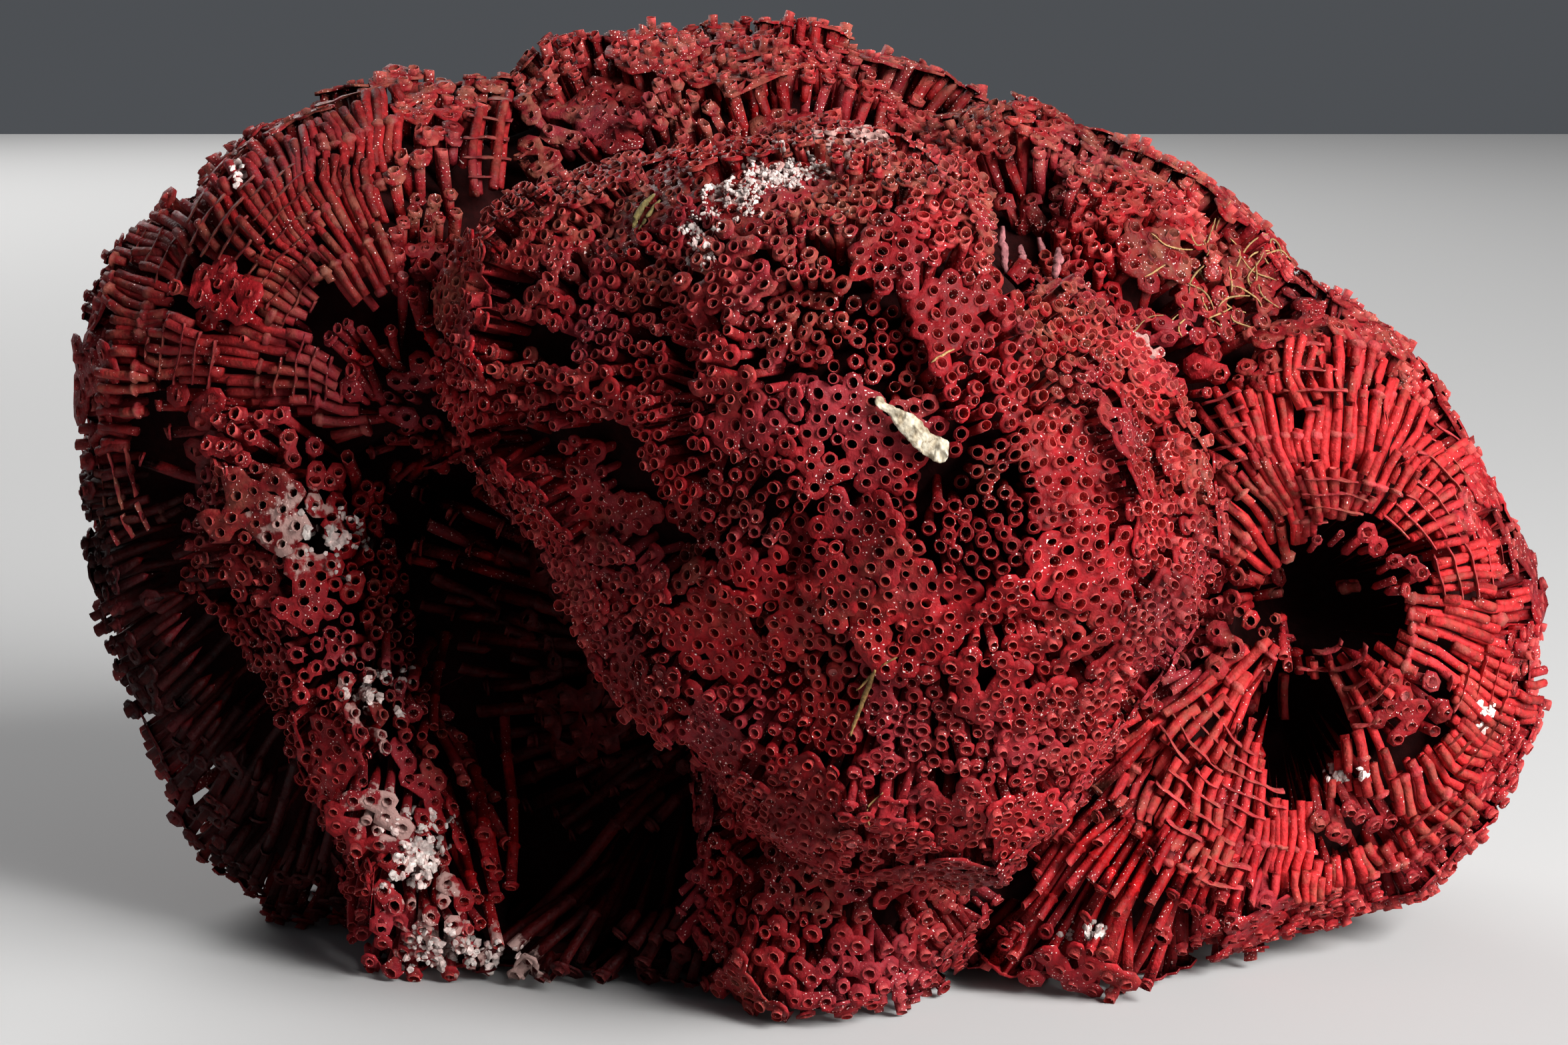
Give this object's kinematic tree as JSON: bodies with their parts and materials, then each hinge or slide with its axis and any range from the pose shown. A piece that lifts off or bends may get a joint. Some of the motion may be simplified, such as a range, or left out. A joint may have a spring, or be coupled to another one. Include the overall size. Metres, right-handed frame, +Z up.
{
  "type": "organ pipe coral",
  "caption": "Dried mass of red organ pipe coral: rounded lobes of thin upright pipes with open ends, dark hollows between them, cut flat underneath to rest on a table.",
  "frame": {"origin": "middle of the coral's box, on the flat cut that it rests on", "axes": "+Z up, +X along the coral's width, the front lobe faces -Y"},
  "size_m": [0.258, 0.1782, 0.1581],
  "materials": {
    "coral_skeleton": "matt crimson limestone skeleton, pink on the cross plates, with pale crusts and tan dust",
    "shell": "matt off-white, rough"
  },
  "bodies": {
    "root": {"base_mass": "coral_skeleton", "front_lobe": "coral_skeleton", "foot_knob": "coral_skeleton", "left_outer_fan": "coral_skeleton", "left_inner_ridge": "coral_skeleton", "crown_lobe": "coral_skeleton", "right_lobe": "coral_skeleton", "right_rear_lobe": "coral_skeleton", "shell_chip": "shell"}
  },
  "joints": []
}
